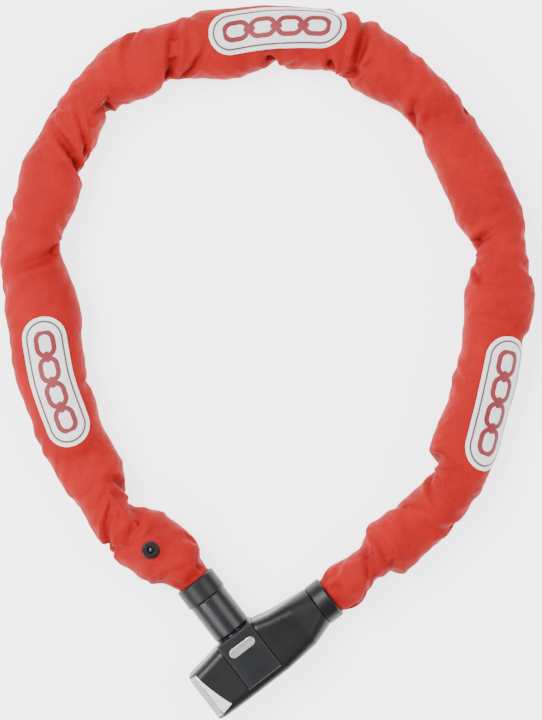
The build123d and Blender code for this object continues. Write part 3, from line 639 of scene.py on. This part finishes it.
def cap_material():
    """Bright satin face, painted near white and less metallic as lit from above, with a band of grooves
    along the key end's edge painted greyer as the end face in shade.
    """
    sh = Shader("cap_metal")
    where = sh.node("ShaderNodeTexCoord", out=3)
    split = sh.tree.nodes.new("ShaderNodeSeparateXYZ")
    sh.feed(split.inputs[0], where)
    band = sh.node("ShaderNodeMapRange", split.outputs[0], -0.0252, -0.0249, 1.0, 0.0)
    stripes = sh.math("SINE", sh.math("MULTIPLY", split.outputs[1], 6283.2))
    streaks = sh.noise(1.0, 3.0, sh.node("ShaderNodeMapping", where, Scale=(60.0, 900.0, 900.0)))
    # Painted light: the band's grey stands in for the end face in shade, and the face's near white for
    # the top lit from above.
    grooved_band_shade = sh.mix(sh.ramp(stripes, -1.0, 1.0), (0.22, 0.22, 0.23), (0.46, 0.46, 0.47))
    face = sh.mix(sh.ramp(streaks, 0.3, 0.7), (0.90, 0.90, 0.91), (0.97, 0.97, 0.97))
    colour = sh.mix(band, face, grooved_band_shade)
    rounded = sh.node("ShaderNodeBevel", settings={"samples": 6}, Radius=0.0003)
    height = sh.math("MULTIPLY", stripes, band)
    return sh.finish(
        Base_Color=colour, Metallic=sh.ramp(band, 0.0, 1.0, 0.35, 1.0),
        Roughness=sh.ramp(streaks, 0.2, 0.8, 0.24, 0.38),
        Normal=sh.bump(height, 0.00008, 0.7, sh.bump(streaks, 0.00002, 0.5, rounded)),
    )


def paint(material, *names):
    """Gives CAD nodes a material."""
    for name in names:
        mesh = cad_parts[name].data
        mesh.materials.clear()
        mesh.materials.append(material)


make_sleeve(sleeve_material())
patch = label_material()
for label in LABELS:
    make_label(*label, patch)

case = plastic("case_plastic", (0.004, 0.0042, 0.0046), 0.38)
paint(case, "upper_cover", "lower_cover", "keyway_cover")
paint(plastic("saddle_plastic", (0.009, 0.0095, 0.011), 0.34), "port_saddle")
paint(plastic("plug_plastic", (0.009, 0.0095, 0.011), 0.28, edge=0.0006), "plug_cover")
paint(plastic("collar_plastic", (0.003, 0.0034, 0.0036), 0.40), "plug_collar", "tail_collar")
paint(plastic("seal_rubber", (0.006, 0.006, 0.006), 0.7, edge=0.0001), "plug_seal")
paint(cap_material(), "end_cap")
paint(metal("badge_metal", (0.8, 0.8, 0.81), 0.28, brushed=0), "badge")
hard_steel = metal("hard_steel", (0.55, 0.56, 0.58), 0.28, brushed=1)
paint(hard_steel, "bolt", "port_bush", "plug_pin", "plug_ring")
works = metal("mechanism_steel", (0.5, 0.51, 0.53), 0.34)
paint(works, "drive_crank", "lock_slider", "housing_pin", "anchor", "anchor_pin")
paint(metal("core_zinc", (0.42, 0.42, 0.44), 0.5), "body_core")
paint(metal("cylinder_brass", (0.72, 0.54, 0.25), 0.3, brushed=0), "cylinder_housing", "cylinder_plug")
paint(metal("wafer_brass", (0.75, 0.58, 0.3), 0.36), *[f"wafer_{n}" for n in range(1, 5)])
black = metal("black_metal", (0.03, 0.03, 0.033), 0.35)
paint(black, "cover_pivot", "case_screw_1", "case_screw_2", "case_screw_3", "sleeve_rivet")
# Painted shade: the rivet's domed end is a dark steel that stands in for the shade down its bore.
make_rivet_floor(metal("rivet_bore_shade", (0.10, 0.09, 0.09), 0.3))
paint(metal("chain_steel", (0.52, 0.53, 0.55), 0.38), *[f"link_{n:02d}" for n in range(1, LINKS + 1)])


# Floor, light and camera, in m

LOOK_AT = (0.0897, 0.1044)  # on the floor, in the middle of the view
DISTANCE = 0.932
RIGHT, UP_WAY = (0.7934, -0.6088), (0.6088, 0.7934)  # the view's right and up, in plan


def make_floor():
    """A wide sheet of pale paper that glows a little, so that it reads as nearly white."""
    mesh = bpy.data.meshes.new("floor")
    size = 15.0
    corners = [(-size, -size), (size, -size), (size, size), (-size, size)]
    mesh.from_pydata([(x, y, -0.0002) for x, y in corners], [], [(0, 1, 2, 3)])
    floor = bpy.data.objects.new("floor", mesh)
    bpy.context.scene.collection.objects.link(floor)
    sh = Shader("floor_paper")
    tone = sh.mix(sh.ramp(sh.noise(6, 2.0), 0.3, 0.7), (0.86, 0.86, 0.86), (0.88, 0.88, 0.88))
    paper = sh.finish(Base_Color=tone, Roughness=0.9, Emission_Color=(1, 1, 1), Emission_Strength=2.6)
    mesh.materials.append(paper)


def make_light(name, place, target, size, power, narrow=None):
    """A soft area light; narrow makes it a strip along Y, this wide."""
    data = bpy.data.lights.new(name, "AREA")
    data.shape, data.size, data.energy = "DISK", size, power
    if narrow:
        data.shape, data.size, data.size_y = "RECTANGLE", narrow, size
    light = bpy.data.objects.new(name, data)
    bpy.context.scene.collection.objects.link(light)
    light.location = place
    light.rotation_euler = (Vector(target) - Vector(place)).to_track_quat("-Z", "Y").to_euler()


def make_camera():
    """Looks straight down on the lock, turned so that the lock's body points down to the left."""
    data = bpy.data.cameras.new("camera")
    data.lens, data.sensor_width = 100.0, 36.0
    data.clip_start, data.clip_end = 0.05, 20
    camera = bpy.data.objects.new("camera", data)
    bpy.context.scene.collection.objects.link(camera)
    turn = Matrix(((RIGHT[0], UP_WAY[0], 0), (RIGHT[1], UP_WAY[1], 0), (0, 0, 1)))
    camera.matrix_world = Matrix.Translation((*LOOK_AT, DISTANCE)) @ turn.to_4x4()
    bpy.context.scene.camera = camera


make_floor()
world = bpy.data.worlds.new("studio")
bpy.context.scene.world = world
world.use_nodes = True
world.node_tree.nodes["Background"].inputs[0].default_value = (1, 1, 1, 1)
world.node_tree.nodes["Background"].inputs[1].default_value = 0.55
middle = (*LOOK_AT, 0)
make_light("key", (LOOK_AT[0] - 0.25, LOOK_AT[1] + 0.65, 1.1), middle, 0.8, 26)
make_light("fill", (LOOK_AT[0] + 0.7, LOOK_AT[1] - 0.3, 0.9), middle, 0.8, 9)
make_light("strip", (-0.51, 0.03, 0.61), (0, 0.03, 0), 0.5, 4.0, narrow=0.06)
make_camera()
